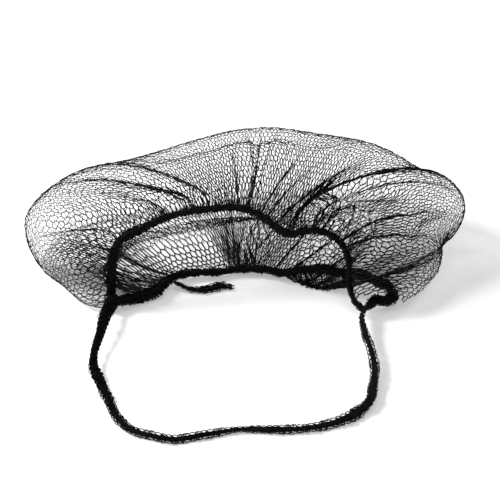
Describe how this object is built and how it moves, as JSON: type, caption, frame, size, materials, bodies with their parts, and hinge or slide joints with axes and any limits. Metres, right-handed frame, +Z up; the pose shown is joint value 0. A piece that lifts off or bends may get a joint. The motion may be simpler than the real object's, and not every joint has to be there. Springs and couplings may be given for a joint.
{
  "type": "beard cover",
  "caption": "Gathered net pouch for covering a beard, with a lens-shaped mouth bound in elastic and a knitted elastic strap that loops round the head.",
  "frame": {"origin": "centre of the whole bounding box in plan, at the level the cover rests on (the lowest point of the pouch and strap)", "axes": "+X along the pouch's width towards its right end seen from the mouth, +Y from the head strap through the mouth to the pouch's back, +Z up from the surface it lies on"},
  "size_m": [0.2562, 0.2174, 0.0632],
  "materials": {
    "net_pouch": "black nylon net, slightly satin",
    "upper_rim": "black knitted elastic, matte",
    "lower_rim": "black knitted elastic, matte",
    "head_strap": "black knitted elastic, matte",
    "loose_end": "black knitted elastic, matte"
  },
  "bodies": {
    "root": {"net_pouch": "net_pouch", "upper_rim": "upper_rim", "lower_rim": "lower_rim", "head_strap": "head_strap", "loose_end": "loose_end"}
  },
  "joints": []
}
